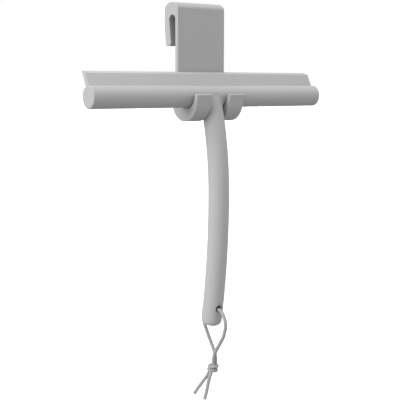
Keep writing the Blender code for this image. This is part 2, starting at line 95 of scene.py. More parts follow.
# The cord's route, from the middle of the hole that it passes through
KNOT_CENTRE = Vector((-0.0010, -0.0020, -0.0545))
FRONT_ROUTE = (
    (0, -0.0115, -0.0014),
    (0, -0.0137, -0.0030),
    (0, -0.0157, -0.0054),
    (0, -0.0171, -0.0078),
    (0, -0.0180, -0.0104),
    (0, -0.0183, -0.0130),
    (0, -0.0181, -0.0156),
    (-0.0002, -0.0174, -0.0187),
    (-0.0005, -0.0154, -0.0243),
    (-0.0009, -0.0116, -0.0304),
    (-0.0013, -0.0074, -0.0366),
    (-0.0016, -0.0046, -0.0417),
    (-0.0017, -0.0034, -0.0461),
    (-0.0017, -0.0032, -0.0502),
    (-0.0016, -0.0030, -0.0535),
)
BACK_ROUTE = (
    (0, 0.0108, -0.0015),
    (0, 0.0129, -0.0035),
    (0, 0.0138, -0.0066),
    (0, 0.0139, -0.0099),
    (0, 0.0136, -0.0132),
    (0, 0.0127, -0.0167),
    (0.0002, 0.0107, -0.0208),
    (0.0005, 0.0075, -0.0266),
    (0.0008, 0.0046, -0.0315),
    (0.0012, 0.0017, -0.0364),
    (0.0015, -0.0008, -0.0413),
    (0.0017, -0.0018, -0.0462),
    (0.0017, -0.0019, -0.0504),
    (0.0016, -0.0019, -0.0535),
)
LEFT_TAIL_ROUTE = (
    (-0.0034, -0.0004, -0.0566),
    (-0.0047, 0, -0.0594),
    (-0.0068, 0.0004, -0.0622),
    (-0.0108, 0.0014, -0.0670),
    (-0.0149, 0.0024, -0.0720),
    (-0.0180, 0.0032, -0.0763),
)
RIGHT_TAIL_ROUTE = (
    (-0.0040, -0.0032, -0.0560),
    (-0.0048, -0.0035, -0.0590),
    (-0.0056, -0.0033, -0.0613),
    (-0.0068, -0.0027, -0.0667),
    (-0.0080, -0.0018, -0.0745),
    (-0.0096, -0.0010, -0.0818),
)

# The camera's place, aim and lens
CAMERA_AT = Vector((-0.48568, -0.67082, -0.05913))
CAMERA_LOOKS = Vector((0.5861, 0.8008, -0.1226))
CAMERA_ROLL = radians(-0.10)
CAMERA_LENS = 84.16
CAMERA_SENSOR = 36
CAMERA_CLIP_START = 0.01

# Each lamp: its name, its setting, the way to it, and how wide it is in degrees
LIGHTS = (
    ("key_light", "key_power", (-0.95, 0.08, 0.25), 35),
    ("top_light", "top_power", (-0.05, -0.05, 1), 60),
    ("fill_light", "fill_power", (0.90, -0.40, 0.05), 60),
)
LIGHT_FROM_BELOW = 0.52
LIGHT_FROM_ABOVE = 1.08

# The floor's depth under the cord's ends, and half its width
FLOOR_BELOW = 0.25
FLOOR_SIZE = 40

# Steps of the smooth curve between two chosen points of a route
ROUTE_PARTS = 20

# A Mix node's sockets when it mixes colours
MIX_SHARE = 0
MIX_FIRST = 6
MIX_SECOND = 7
MIX_RESULT = 2


def length(name, description, default):
    return FloatProperty(name=name, description=description, default=default, unit="LENGTH", precision=5)


def angle(name, description, default):
    return FloatProperty(name=name, description=description, default=radians(default), subtype="ANGLE")


def colour(name, description, grey):
    return FloatVectorProperty(
        name=name, description=description, default=(grey, grey, grey), subtype="COLOR", min=0, max=1
    )


class SqueegeeSizes(bpy.types.PropertyGroup):
    head_diameter: length("Head", "Diameter of the bar along the top", 18.6 * MM)
    head_round: length("Head end", "Radius of the edge at each end of the head", 0.9 * MM)
    handle_diameter: length("Handle", "Diameter of the grip", 18.2 * MM)
    handle_drop: length("Handle drop", "Depth of the handle's end below the head's middle", 199.8 * MM)
    handle_bow: length("Bow", "How far the handle bows forwards", 12.8 * MM)
    bow_drop: length("Bow height", "Depth of the middle of the bow below the head", 84 * MM)
    lower_bow_radius: length("Lower bow", "Radius of the bow's lower part", 640 * MM)
    handle_end_round: length("Handle end", "Radius of the handle's lower edge", 4.5 * MM)
    neck_flare: length("Neck flare", "How far the handle flares into the head", 3.0 * MM)
    hole_diameter: length("Cord hole", "Diameter of the hole near the handle's end", 6.0 * MM)
    hole_above_end: length("Hole height", "Height of the hole above the handle's end", 15.4 * MM)
    hole_round: length("Hole edge", "Radius of the hole's edges", 0.5 * MM)
    blade_lean: angle("Lean", "How far the blade leans back", 26.6)
    blade_thickness: length("Blade", "Thickness of the blade", 4.4 * MM)
    blade_offset: length("Blade offset", "How far the blade is in front of the head's middle", 0.9 * MM)
    blade_front_height: length("Front height", "Height of the blade's front face", 10.9 * MM)
    blade_back_height: length("Back height", "Height of the blade's back face", 15.0 * MM)
    cord_diameter: length("Cord", "Diameter of the cord", 3.2 * MM)
    cord_sag: length("Cord sag", "How far the cord lies below the middle of its hole", 0.9 * MM)
    knot_diameter: length("Knot", "Diameter of the knot", 10.0 * MM)


class HangerSizes(bpy.types.PropertyGroup):
    plate_thickness: length("Plate", "Thickness of the plate", 4.2 * MM)
    slot_width: length("Slot", "Width of the slot at its top", 9.6 * MM)
    mouth_width: length("Mouth", "Width of the slot at its mouth", 6.4 * MM)
    slot_depth: length("Slot depth", "Depth of the slot", 26.1 * MM)
    crown_thickness: length("Crown", "Thickness over the slot", 11.0 * MM)
    crown_rise: length("Crown rise", "How far the crown is rounded", 5.9 * MM)
    leg_thickness: length("Leg", "Thickness of the back leg", 6.1 * MM)
    leg_end_thickness: length("Leg end", "Thickness of the back leg at its end", 7.5 * MM)
    trough_clearance: length("Trough", "Spare radius of the trough round the head", 2.0 * MM)
    lip_thickness: length("Lip", "Thickness of the two front lips", 4.4 * MM)
    lip_lean: angle("Lip lean", "How far the lips lean out", 12)
    lip_rise: length("Lip rise", "Height of the lips above the head's middle", 2.4 * MM)
    notch_width: length("Notch", "Width of the notch for the handle", 19.4 * MM)
    notch_top: length("Notch top", "Height of the notch above the head's middle", 6.5 * MM)
    notch_corner: length("Notch corner", "Radius of the notch's upper corners", 6.0 * MM)
    edge_round: length("Edge", "Radius of the side edges", 0.7 * MM)


class SqueegeeFinishes(bpy.types.PropertyGroup):
    silicone: colour("Silicone", "Colour of the soft skins", 0.33)
    blade: colour("Blade", "Colour of the blade", 0.34)
    cord: colour("Cord", "Colour of the cord", 0.27)
    floor: colour("Floor", "Colour of the studio floor", 0.92)
    key_power: FloatProperty(name="Key light", description="Strength of the key light", default=2.7)
    top_power: FloatProperty(name="Top light", description="Strength of the light overhead", default=1.9)
    fill_power: FloatProperty(name="Fill light", description="Strength of the fill light", default=0.6)
    daylight: FloatProperty(name="Room light", description="Strength of the light all round", default=1.0)


# Shader building


class Wire:
    """A shader socket's output, which sums and products can be written with."""

    def __init__(self, paint, socket):
        self.paint = paint
        self.socket = socket

    def _math(self, operation, first, second=0.0):
        return self.paint.node("Math", {"operation": operation}, {0: first, 1: second})

    def __add__(self, other):
        return self._math("ADD", self, other)

    __radd__ = __add__

    def __mul__(self, other):
        return self._math("MULTIPLY", self, other)

    __rmul__ = __mul__

    def __sub__(self, other):
        return self._math("SUBTRACT", self, other)

    def __rsub__(self, other):
        return self._math("SUBTRACT", other, self)

    def __abs__(self):
        return self._math("ABSOLUTE", self)

    def sine(self):
        return self._math("SINE", self)

    def larger(self, other):
        return self._math("MAXIMUM", self, other)

    def of(self, name):
        """Another output of the same node."""
        return Wire(self.paint, self.socket.node.outputs[name])


class Paint:
    """A material whose look comes from nodes."""

    def __init__(self, name, **sockets):
        self.material = bpy.data.materials.new(name)
        self.material.use_nodes = True
        self.tree = self.material.node_tree
        self.shader = self.tree.nodes["Principled BSDF"]
        self.finish(sockets)

    def finish(self, sockets):
        for name, value in sockets.items():
            self._fill(self.shader.inputs[name.replace("_", " ")], value)

    def _fill(self, socket, value):
        if isinstance(value, Wire):
            self.tree.links.new(value.socket, socket)
        elif socket.type == "RGBA":
            socket.default_value = (*value[:3], 1)
        else:
            socket.default_value = value

    def node(self, kind, settings, values):
        """A new node's first output, once its settings and its sockets are filled in."""
        made = self.tree.nodes.new("ShaderNode" + kind)
        for name, value in settings.items():
            setattr(made, name, value)
        for name, value in values.items():
            self._fill(made.inputs[name], value)
        return Wire(self, next(socket for socket in made.outputs if socket.enabled))

    def place(self):
        return self.node("TexCoord", {}, {}).of("Object")

    def noise(self, size, detail=2.0, roughness=0.5, vector=None):
        """Cloudy noise from 0 to 1, whose patches are about this size."""
        place = vector or self.place()
        values = {"Vector": place, "Scale": 1 / size, "Detail": detail, "Roughness": roughness}
        return self.node("TexNoise", {}, values)

    def between(self, dark, light, share):
        """A colour between two, by a share from 0 to 1."""
        values = {MIX_SHARE: share, MIX_FIRST: dark, MIX_SECOND: light}
        mixed = self.node("Mix", {"data_type": "RGBA"}, values)
        return mixed.of(MIX_RESULT)

    def bump(self, height, depth, strength):
        return self.node("Bump", {}, {"Height": height, "Distance": depth, "Strength": strength})


def shade(base, factor):
    return tuple(min(1.0, channel * factor) for channel in base)


def silicone_paint(name, grey, roughness=0.70):
    """Soft-touch silicone: matte, a little cloudy, with a very fine grain."""
    paint = Paint(name)
    cloud = paint.noise(28 * MM, detail=3)
    grain = paint.noise(0.45 * MM, detail=3, roughness=0.6)
    fine = paint.noise(0.16 * MM, detail=1)
    tone = 0.5 + (cloud - 0.5) * 0.7 + (grain - 0.5) * 0.5
    paint.finish(
        {
            "Base_Color": paint.between(shade(grey, 0.955), shade(grey, 1.045), tone),
            "Roughness": roughness - 0.03 + cloud * 0.06 + (grain - 0.5) * 0.10,
            "Specular_IOR_Level": 0.20,
            "Normal": paint.bump(grain + fine * 0.4, 0.012 * MM, 0.6),
        }
    )
    return paint.material


def cord_paint(name, grey, along, around):
    """A fine braid of waxed thread, laid out on the cord's own length and girth."""
    paint = Paint(name)
    split = paint.node("SeparateXYZ", {}, {0: paint.place().of("UV")})
    run = split.of("X") * (pi / along)
    turn = split.of("Y") * (pi / around)
    over = abs((run + turn).sine())
    under = abs((run - turn).sine())
    weave = over.larger(under)
    fuzz = paint.noise(0.25 * MM, detail=3, roughness=0.7)
    cloud = paint.noise(9 * MM, detail=2)
    # The weave darkens the base colour between the strands: the braid's own pattern, with painted shade
    # in the crevices between the strands
    tone = weave * 0.62 + fuzz * 0.25 + cloud * 0.13
    paint.finish(
        {
            "Base_Color": paint.between(shade(grey, 0.60), shade(grey, 1.16), tone),
            "Roughness": 0.86 - weave * 0.10 + (fuzz - 0.5) * 0.10,
            "Specular_IOR_Level": 0.30,
            "Normal": paint.bump(weave + fuzz * 0.25, 0.25 * MM, 1.0),
        }
    )
    return paint.material


def steel_paint(name):
    """Plain stainless steel with faint drawing lines."""
    paint = Paint(name, Metallic=1.0)
    stretched = paint.node("Mapping", {}, {"Vector": paint.place(), "Scale": (1, 1, 0.02)})
    lines = paint.noise(0.3 * MM, detail=3, vector=stretched)
    paint.finish(
        {
            "Base_Color": paint.between((0.50, 0.50, 0.51), (0.64, 0.64, 0.65), lines),
            "Roughness": 0.28 + lines * 0.14,
            "Normal": paint.bump(lines, 0.004 * MM, 0.5),
        }
    )
    return paint.material


def plastic_paint(name):
    """Moulded dark plastic with a fine spark-eroded grain."""
    paint = Paint(name)
    cloud = paint.noise(12 * MM)
    grain = paint.noise(0.35 * MM, detail=2)
    paint.finish(
        {
            "Base_Color": paint.between((0.075, 0.075, 0.078), (0.095, 0.095, 0.098), cloud),
            "Roughness": 0.48 + grain * 0.12,
            "Normal": paint.bump(grain, 0.02 * MM, 0.6),
        }
    )
    return paint.material


def floor_paint(name, pale):
    """A plain matte studio sweep."""
    paint = Paint(name, Specular_IOR_Level=0.1)
    cloud = paint.noise(0.6, detail=2)
    paint.finish(
        {
            "Base_Color": paint.between(shade(pale, 0.99), shade(pale, 1.01), cloud),
            "Roughness": 0.9 + cloud * 0.05,
        }
    )
    return paint.material


# Shapes


def add_object(name, mesh, *materials):
    for material in materials:
        mesh.materials.append(material)
    made = bpy.data.objects.new(name, mesh)
    bpy.context.scene.collection.objects.link(made)
    return made


def repaint(piece, material):
    piece.data.materials.clear()
    piece.data.materials.append(material)


def finished_mesh(name, bm, sharp_above=radians(40)):
    bmesh.ops.recalc_face_normals(bm, faces=bm.faces)
    mesh = bpy.data.meshes.new(name)
    bm.to_mesh(mesh)
    bm.free()
    mesh.shade_smooth()
    mesh.set_sharp_from_angle(angle=sharp_above)
    return mesh


def settle(piece):
    """The piece's modifiers become its own mesh."""
    graph = bpy.context.evaluated_depsgraph_get()
    mesh = bpy.data.meshes.new_from_object(piece.evaluated_get(graph))
    piece.modifiers.clear()
    piece.data = mesh
    return mesh


def rounded(corners, step):
    """The points of a closed outline through (across, up, radius) corners, each rounded off."""
    outline = []
    count = len(corners)
    for index, (across, up, radius) in enumerate(corners):
        corner = Vector((across, up))
        if radius == 0:
            outline.append(corner)
            continue
        before = (Vector(corners[index - 1][:2]) - corner).normalized()
        after = (Vector(corners[(index + 1) % count][:2]) - corner).normalized()
        turn = pi - before.angle(after)
        reach = radius * tan(turn / 2)
        side = 1 if before.x * after.y - before.y * after.x < 0 else -1
        start = corner + before * reach
        centre = start + Vector((-before.y, before.x)) * radius * -side
        spoke = start - centre
        steps = max(1, ceil(turn / step))
        for number in range(steps + 1):
            outline.append(centre + Matrix.Rotation(side * turn * number / steps, 2) @ spoke)
    pairs = zip(outline, [outline[-1], *outline])
    return [point for point, behind in pairs if (point - behind).length > SAME_POINT]


def swept(bm, outline, push):
    """Adds the solid that a flat outline sweeps when it is pushed. Returns its two end faces."""
    face = bm.faces.new([bm.verts.new(point) for point in outline])
    pushed = bmesh.ops.extrude_face_region(bm, geom=[face])["geom"]
    corners = [item for item in pushed if isinstance(item, bmesh.types.BMVert)]
    bmesh.ops.translate(bm, verts=corners, vec=push)
    return face, next(item for item in pushed if isinstance(item, bmesh.types.BMFace))


def drawn_on(bm, edges, turn_of, place):
    """Draws these edges out to where place puts each turn. Returns the new edges."""
    pushed = bmesh.ops.extrude_edge_only(bm, edges=edges)["geom"]
    corners = {item for item in pushed if isinstance(item, bmesh.types.BMVert)}
    for vertex in corners:
        vertex.co = place(vertex[turn_of])
    return [
        item
        for item in pushed
        if isinstance(item, bmesh.types.BMEdge) and corners.issuperset(item.verts)
    ]


def soften(bm, edges, width, segments=3):
    """Rounds these edges off."""
    bmesh.ops.bevel(
        bm,
        geom=edges,
        offset=width,
        affect="EDGES",
        segments=segments,
        profile=0.5,
        material=-1,
        clamp_overlap=False,
    )


def sharp_edges(bm, above):
    return [edge for edge in bm.edges if edge.calc_face_angle(0) > above]


def even_shading(piece, sharp_above):
    """Keeps the flat faces flat, and shades the rounded edges smoothly."""
    piece.data.shade_smooth()
    piece.data.set_sharp_from_angle(angle=sharp_above)
    weighted = piece.modifiers.new("normals", "WEIGHTED_NORMAL")
    weighted.keep_sharp = True
    weighted.weight = 80
    settle(piece)


def smooth_route(points, step):
    """Points about a step apart on the smooth curve through these points."""
    knots = [Vector(point) for point in points]
    padded = [2 * knots[0] - knots[1], *knots, 2 * knots[-1] - knots[-2]]
    fine = []
    for a, b, c, d in zip(padded, padded[1:], padded[2:], padded[3:]):
        for part in range(ROUTE_PARTS):
            t = part / ROUTE_PARTS
            bend = (2 * a - 5 * b + 4 * c - d) * t**2 + (3 * b - a - 3 * c + d) * t**3
            fine.append((2 * b + (c - a) * t + bend) / 2)
    fine.append(knots[-1])
    lengths = [0.0]
    for first, second in zip(fine, fine[1:]):
        lengths.append(lengths[-1] + (second - first).length)
    count = max(2, round(lengths[-1] / step))
    spaced = []
    for number in range(count + 1):
        wanted = lengths[-1] * number / count
        after = next(index for index, reached in enumerate(lengths) if reached >= wanted - SAME_POINT)
        before = max(after - 1, 0)
        span = lengths[after] - lengths[before]
        share = (wanted - lengths[before]) / span if span else 0
        spaced.append(fine[before].lerp(fine[after], share))
    return spaced


def route_length(points):
    return sum((second - first).length for first, second in zip(points, points[1:]))


def cord_mesh(name, routes, radius):
    """Round cord along each route, with its length and girth in millimetres as its UV map."""
    curve = bpy.data.curves.new(name, "CURVE")
    curve.dimensions = "3D"
    curve.bevel_depth = radius
    curve.bevel_resolution = 5
    curve.use_fill_caps = True
    for route in routes:
        spline = curve.splines.new("POLY")
        spline.points.add(len(route) - 1)
        for vertex, point in zip(spline.points, route):
            vertex.co = (*point, 1)
    holder = bpy.data.objects.new(name, curve)
    bpy.context.scene.collection.objects.link(holder)
    graph = bpy.context.evaluated_depsgraph_get()
    mesh = bpy.data.meshes.new_from_object(holder.evaluated_get(graph))
    bpy.data.objects.remove(holder)
    mesh.name = name
    run = route_length(routes[0]) / MM
    girth = 2 * pi * radius / MM
    for corner in mesh.uv_layers[0].data:
        corner.uv = (corner.uv.x * run, corner.uv.y * girth)
    mesh.shade_smooth()
    mesh.set_sharp_from_angle(angle=radians(50))
    return mesh


# The squeegee's own lines, from the middle of its head


class Handle:
    """The handle's centre line and the skin round the neck, measured from the middle of the head."""

    def __init__(self, sizes):
        self.sizes = sizes
        self.radius = sizes.handle_diameter / 2
        self.head_radius = sizes.head_diameter / 2
        bow, drop = sizes.handle_bow, sizes.bow_drop
        self.upper_radius = (drop**2 + bow**2) / (2 * bow)
        self.down = self.direction(0)
        self.forward = self.down.cross(X)

    def bow_radius(self, drop):
        return self.upper_radius if drop < self.sizes.bow_drop else self.sizes.lower_bow_radius

    def centre(self, drop):
        radius = self.bow_radius(drop)
        rise = sqrt(radius**2 - (self.sizes.bow_drop - drop) ** 2)
        return Vector((0, radius - self.sizes.handle_bow - rise, -drop))

    def direction(self, drop):
        radius = self.bow_radius(drop)
        slope = (drop - self.sizes.bow_drop) / sqrt(radius**2 - (self.sizes.bow_drop - drop) ** 2)
        return Vector((0, slope, -1)).normalized()

    def on_handle(self, turn, drop, radius=None):
        """A point of the handle's skin: turn is 0 towards +X and a quarter turn towards the front."""
        out = X * cos(turn) + self.direction(drop).cross(X) * sin(turn)
        return self.centre(drop) + out * (radius or self.radius)

    def on_head(self, turn, across, radius=None):
        """A point of the head's skin: turn is 0 below, in line with the handle."""
        out = self.down * cos(turn) + self.forward * sin(turn)
        return X * across + out * (radius or self.head_radius)


class SQUEEGEE_OT_camera(bpy.types.Operator):
    """Places the camera in front, a little to the left and above the head"""

    bl_idname = "squeegee.camera"
    bl_label = "Camera"

    def execute(self, context):
        lens = bpy.data.cameras.new("camera")
        lens.lens = CAMERA_LENS
        lens.sensor_width = CAMERA_SENSOR
        lens.clip_start = CAMERA_CLIP_START
        camera = bpy.data.objects.new("camera", lens)
        camera.location = CAMERA_AT
        camera.rotation_mode = "QUATERNION"
        roll = Matrix.Rotation(CAMERA_ROLL, 3, CAMERA_LOOKS).to_quaternion()
        camera.rotation_quaternion = roll @ CAMERA_LOOKS.to_track_quat("-Z", "Y")
        context.scene.collection.objects.link(camera)
        context.scene.camera = camera
        return {"FINISHED"}


class SQUEEGEE_OT_cord(bpy.types.Operator):
    """Hangs the knotted cord from the hole in the handle"""

    bl_idname = "squeegee.cord"
    bl_label = "Cord and knot"

    STEP = 0.8 * MM

    # The braid: a stitch's length in millimetres, and how many stitches go round
    BRAID_LENGTH = 1.7
    BRAIDS_ROUND = 4

    # Each turn of the knot in millimetres: its height, its tilt, and its shift across and back
    TURNS = ((1.65, 0.30, 0.15, 0.0), (-1.65, -0.45, -0.45, 0.30))
    TURN_STEPS = 48
    TURN_STEP = 0.5 * MM
    TILT_TOWARDS = radians(-36)

    # Where a turn's two ends go in, half the gap between them, and how far in they reach
    TUCKED_AT = radians(54)
    TUCK = radians(16)
    TUCKED_TO = (0.72, 0.35)

    def execute(self, context):
        sizes = context.scene.squeegee_sizes
        finishes = context.scene.squeegee_finishes
        handle = Handle(sizes)
        radius = sizes.cord_diameter / 2
        hole = HEAD + handle.centre(sizes.handle_drop - sizes.hole_above_end)
        start = Vector((0, 0, -sizes.cord_sag))
        rim = Vector((0, sizes.handle_diameter / 2, 0))
        girth = 2 * pi * radius / MM
        paint = cord_paint("braided_cord", finishes.cord, self.BRAID_LENGTH, girth / self.BRAIDS_ROUND)

        def route(points):
            return [hole + point for point in smooth_route(points, self.STEP)]

        front = route((start, start - rim, *FRONT_ROUTE))
        back = route((start, start + rim, *BACK_ROUTE))
        pieces = {
            "cord_front_strand": ("cord_front", [front]),
            "cord_back_strand": ("cord_back", [back]),
            "cord_left_end": ("cord_tail_left", [route(LEFT_TAIL_ROUTE)]),
            "cord_right_end": ("cord_tail_right", [route(RIGHT_TAIL_ROUTE)]),
            "knot": ("cord_knot", self.knot_turns(sizes, hole + KNOT_CENTRE)),
        }
        made = {}
        for name, (node, routes) in pieces.items():
            made[name] = add_object(name, cord_mesh(name, routes, radius), paint)
            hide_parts(node)
            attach(made[name], "cord")
        route_length(front)
        route_length(back)
        return {"FINISHED"}

    def knot_turns(self, sizes, middle):
        """Two turns of the cord round its own two strands, each tucked in at the back."""
        radius = (sizes.knot_diameter - sizes.cord_diameter) / 2
        turns = []
        for height, tilt, across, back in self.TURNS:
            centre = Vector((across, back, height)) * MM
            points = []
            for step in range(self.TURN_STEPS + 1):
                turned = (2 * pi - 2 * self.TUCK) * step / self.TURN_STEPS
                turn = self.TUCKED_AT + self.TUCK + turned
                lift = tilt * MM * cos(turn - self.TILT_TOWARDS)
                points.append(centre + Vector((radius * cos(turn), radius * sin(turn), lift)))
            inward = [points[0] * share for share in reversed(self.TUCKED_TO)]
            outward = [points[-1] * share for share in self.TUCKED_TO]
            for point in inward + outward:
                point.z = centre.z
            turn_points = smooth_route([*inward, *points[1:-1:3], *outward], self.TURN_STEP)
            turns.append([middle + point for point in turn_points])
        return turns


class SQUEEGEE_OT_skin(bpy.types.Operator):
    """Moulds the one silicone skin of the head and the handle"""

    bl_idname = "squeegee.skin"
    bl_label = "Squeegee skin"

    # Points round the skin, and how far from the neck its rings come level
    SEGMENTS = 96
    LEVEL = 30 * MM

    # Half the width that the neck may fill between the hanger's two lips
    NECK_ROOM = 9.5 * MM

    # How fast the flare grows round the neck, and its reach down the handle for its width
    FLARE_FADE = 1.5
    FLARE_DROP = 2.0

    # Rings along the head and below the neck, in millimetres from the fillet
    HEAD_RINGS = (0.8, 1.8, 3, 4.5, 6.5, 9, 12, 16, 22, 30, 45, 60, 75, 90, 105)
    NECK_RINGS = (1, 2.2, 3.6, 5.2, 7, 9, 12, 15.5, 19.5, 24.5)

    # Numbers of rings round the edges, and the last ring's share of each end face
    HEAD_EDGE_RINGS = 8
    FILLET_RINGS = 10
    HANDLE_RINGS = 56
    HANDLE_EDGE_RINGS = 14
    HEAD_CAP_RING = 0.9
    HANDLE_CAP_RING = 0.8

    # The cutter for the cord's hole: its rings, and how far it flares past the skin
    CUTTER_SEGMENTS = 64
    CUTTER_RINGS = 6
    CUTTER_TURN = radians(80)
    CUTTER_WIDER = 1.2 * MM
    CUTTER_PROUD = 1.5 * MM

    def execute(self, context):
        sizes = context.scene.squeegee_sizes
        handle = Handle(sizes)
        finishes = context.scene.squeegee_finishes
        skin = add_object("squeegee_skin", self.body(handle, sizes))
        self.drill(skin, handle, sizes)
        skin.data.transform(Matrix.Translation(HEAD))
        repaint(skin, silicone_paint("soft_silicone", finishes.silicone))
        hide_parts("head_sleeve", "handle_sleeve", "end_plug_left", "end_plug_right")
        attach(skin, "squeegee")
        return {"FINISHED"}

    def flare(self, handle, turn):
        """How far the neck's fillet reaches along the head, and down the handle, at this turn."""
        room = self.NECK_ROOM - handle.radius * cos(turn)
        fade = sin(min(1.0, self.FLARE_FADE * max(0.0, cos(turn))) * pi / 2)
        across = min(room, handle.sizes.neck_flare) * fade
        return across, across * self.FLARE_DROP

    def body(self, handle, sizes):
        """One arm of the head and half of the handle, as rings drawn outwards, and then mirrored."""
        bm = bmesh.new()
        turn_of = bm.verts.layers.float.new("turn")
        ring = bmesh.ops.create_circle(bm, segments=self.SEGMENTS, radius=1)["verts"]
        for vertex in ring:
            vertex[turn_of] = atan2(vertex.co.x, vertex.co.y)
        start_edges = bm.edges[:]

        def neck(turn):
            """Where the fillet leaves the head, and where it reaches the handle."""
            below = max(0.0, cos(turn))
            across, down = self.flare(handle, turn)
            return handle.radius * below + across, handle.head_radius * below + down

        def draw(edges, place):
            return drawn_on(bm, edges, turn_of, place)

        for vertex in ring:
            vertex.co = handle.on_head(vertex[turn_of], neck(vertex[turn_of])[0])

        # Out along the head
        edges = start_edges
        straight = HALF_LENGTH - sizes.head_round
        for out in self.HEAD_RINGS:
            reach = out * MM

            def along_head(turn, reach=reach):
                near = neck(turn)[0]
                across = reach + near * max(0.0, 1 - reach / self.LEVEL)
                return handle.on_head(turn, across)

            edges = draw(edges, along_head)
        edges = draw(edges, lambda turn: handle.on_head(turn, straight))
        for step in range(1, self.HEAD_EDGE_RINGS + 1):
            bend = pi / 2 * step / self.HEAD_EDGE_RINGS
            across = straight + sizes.head_round * sin(bend)
            radius = handle.head_radius - sizes.head_round * (1 - cos(bend))
            edges = draw(edges, lambda turn: handle.on_head(turn, across, radius))
        inner = radius * self.HEAD_CAP_RING
        edges = draw(edges, lambda turn: handle.on_head(turn, HALF_LENGTH, inner))
        bmesh.ops.contextual_create(bm, geom=edges)

        # In to the middle over the top of the head
        above = pi / 2 - SAME_ANGLE
        upper = [edge for edge in start_edges if all(abs(v[turn_of]) > above for v in edge.verts)]
        lower = [edge for edge in start_edges if edge not in upper]
        draw(upper, lambda turn: handle.on_head(turn, 0))

        # Round the fillet and down the handle
        edges = lower
        for step in range(1, self.FILLET_RINGS + 1):
            bend = pi / 2 * step / self.FILLET_RINGS

            def fillet(turn, bend=bend):
                across, down = self.flare(handle, turn)
                far_across, far_down = neck(turn)
                out = far_across - across * sin(bend)
                drop = far_down - down * cos(bend)
                share = sin(bend) ** 2
                on_head = X * out + handle.down * drop + handle.forward * handle.head_radius * sin(turn)
                bowed = handle.centre(drop) + X * out
                bowed += handle.direction(drop).cross(X) * handle.radius * sin(turn)
                return on_head.lerp(bowed, share)

            edges = draw(edges, fillet)
        end = sizes.handle_drop - sizes.handle_end_round
        for out in self.NECK_RINGS:
            fall = out * MM

            def below_neck(turn, fall=fall):
                near = neck(turn)[1]
                return handle.on_handle(turn, fall + near * max(0.0, 1 - fall / self.LEVEL))

            edges = draw(edges, below_neck)
        for number in range(self.HANDLE_RINGS + 1):
            drop = self.LEVEL + (end - self.LEVEL) * number / self.HANDLE_RINGS
            edges = draw(edges, lambda turn: handle.on_handle(turn, drop))
        for step in range(1, self.HANDLE_EDGE_RINGS + 1):
            bend = pi / 2 * step / self.HANDLE_EDGE_RINGS
            drop = end + sizes.handle_end_round * sin(bend)
            radius = handle.radius - sizes.handle_end_round * (1 - cos(bend))
            edges = draw(edges, lambda turn: handle.on_handle(turn, drop, radius))
        inner = radius * self.HANDLE_CAP_RING
        draw(edges, lambda turn: handle.on_handle(turn, drop, inner))

        geometry = bm.verts[:] + bm.edges[:] + bm.faces[:]
        bmesh.ops.mirror(bm, geom=geometry, matrix=Matrix.Identity(4), merge_dist=SAME_POINT, axis="X")
        bmesh.ops.remove_doubles(bm, verts=bm.verts, dist=SAME_POINT)
        bmesh.ops.holes_fill(bm, edges=bm.edges, sides=0)
        return finished_mesh("squeegee_skin", bm, radians(60))

    def drill(self, skin, handle, sizes):
        """Cuts the cord's hole and softens its two rims."""
        drop = sizes.handle_drop - sizes.hole_above_end
        middle = handle.centre(drop)
        slope = handle.direction(drop).y / handle.direction(drop).z
        bore = sizes.hole_diameter / 2
        bm = bmesh.new()
        turn_of = bm.verts.layers.float.new("turn")
        ring = bmesh.ops.create_circle(bm, segments=self.CUTTER_SEGMENTS, radius=1)["verts"]
        for vertex in ring:
            vertex[turn_of] = atan2(vertex.co.y, vertex.co.x)
            vertex.co = middle + Vector((vertex.co.x, 0, vertex.co.y)) * bore
        first = bm.edges[:]

        def widen(edges, out, depth, side):
            """Draws the cutter's ring on to this radius, at this depth under the handle's skin."""

            def place(turn):
                across = out * cos(turn)
                up = out * sin(turn)
                skin_at = sqrt(handle.radius**2 - across**2)
                return middle + Vector((across, up * slope + side * (skin_at - depth), up))

            return drawn_on(bm, edges, turn_of, place)

        for side in (-1, 1):
            edges = first
            for step in range(self.CUTTER_RINGS + 1):
                bend = self.CUTTER_TURN * step / self.CUTTER_RINGS
                out = bore + sizes.hole_round * (1 - cos(bend))
                depth = sizes.hole_round * (1 - sin(bend))
                edges = widen(edges, out, depth, side)
            edges = widen(edges, out + self.CUTTER_WIDER, -self.CUTTER_PROUD, side)
            bmesh.ops.contextual_create(bm, geom=edges)
        drill = add_object("hole_cutter", finished_mesh("hole_cutter", bm))
        cut = skin.modifiers.new("hole", "BOOLEAN")
        cut.object = drill
        cut.solver = "EXACT"
        settle(skin)
        bpy.data.objects.remove(drill)
        skin.data.set_sharp_from_angle(angle=radians(60))


